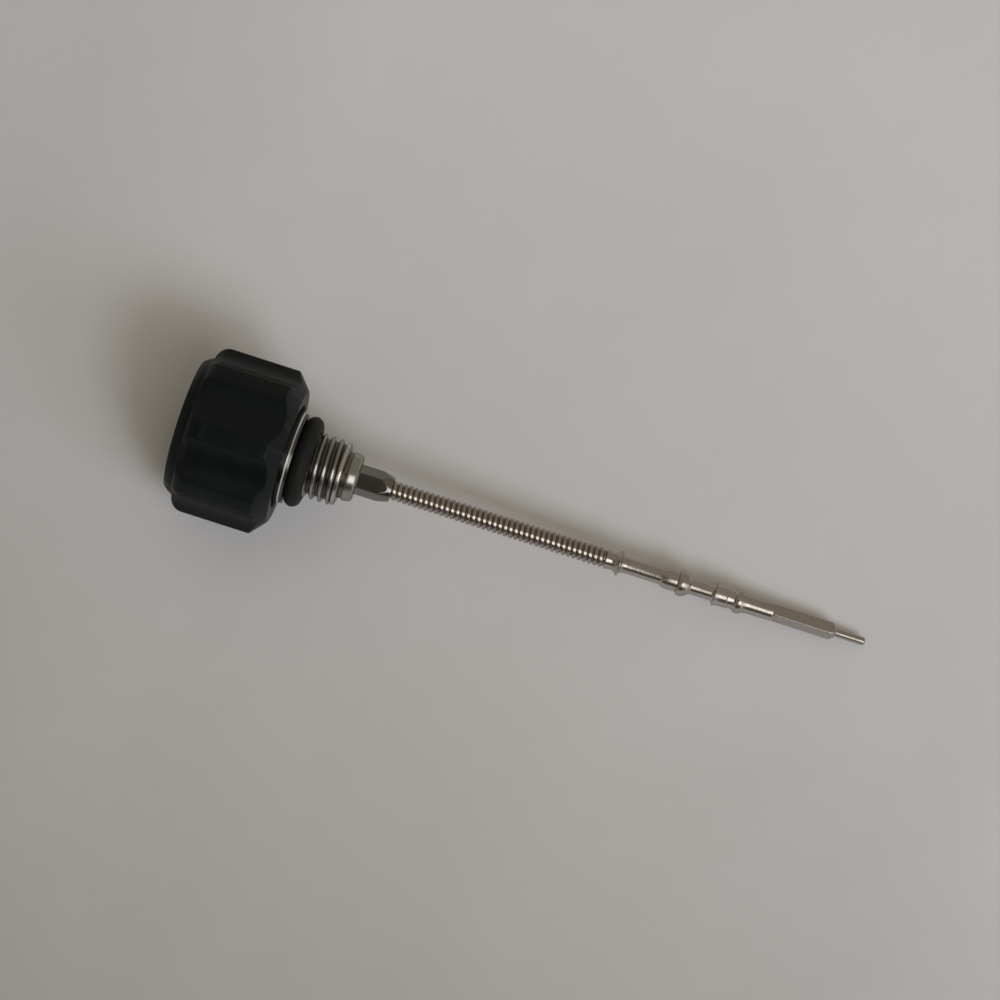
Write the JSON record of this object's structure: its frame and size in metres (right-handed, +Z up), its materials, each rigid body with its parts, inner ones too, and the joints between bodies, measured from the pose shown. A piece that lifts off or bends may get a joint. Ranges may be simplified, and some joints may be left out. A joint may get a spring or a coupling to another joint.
{
  "type": "watch stem",
  "caption": "Screw-down watch crown with a fluted cap, threaded core, seal ring and sprung hexagonal post that carries a threaded winding stem.",
  "frame": {"origin": "on the stem's axis, in the plane of the crown cap's inner face, which meets the watch case", "axes": "+X along the stem from the crown towards the pivot, +Z up with the crown lying on two of its ridges, +Y to the left seen from the crown's outer face with +Z up"},
  "size_m": [0.0323, 0.0074, 0.0074],
  "materials": {
    "black_cap": "black anodised, satin",
    "core_steel": "turned, bright",
    "seal_rubber": "matte black",
    "bush_steel": "turned, satin",
    "post_steel": "milled, satin",
    "spring_steel": "drawn wire",
    "stem_steel": "turned and polished"
  },
  "bodies": {
    "crown": {"crown_cap": "black_cap", "threaded_core": "core_steel", "seal_ring": "seal_rubber", "retaining_bush": "bush_steel", "return_spring": "spring_steel"},
    "stem_assembly": {"hex_post": "post_steel", "stem": "stem_steel"}
  },
  "joints": [
    {"name": "post_slide", "type": "slide", "parent": "crown", "child": "stem_assembly", "axis": [1, 0, 0], "range_m": [-0.0013, 0], "stiffness_N_per_m": 300, "springref_m": 0.0005, "deforming": ["return_spring"]}
  ]
}
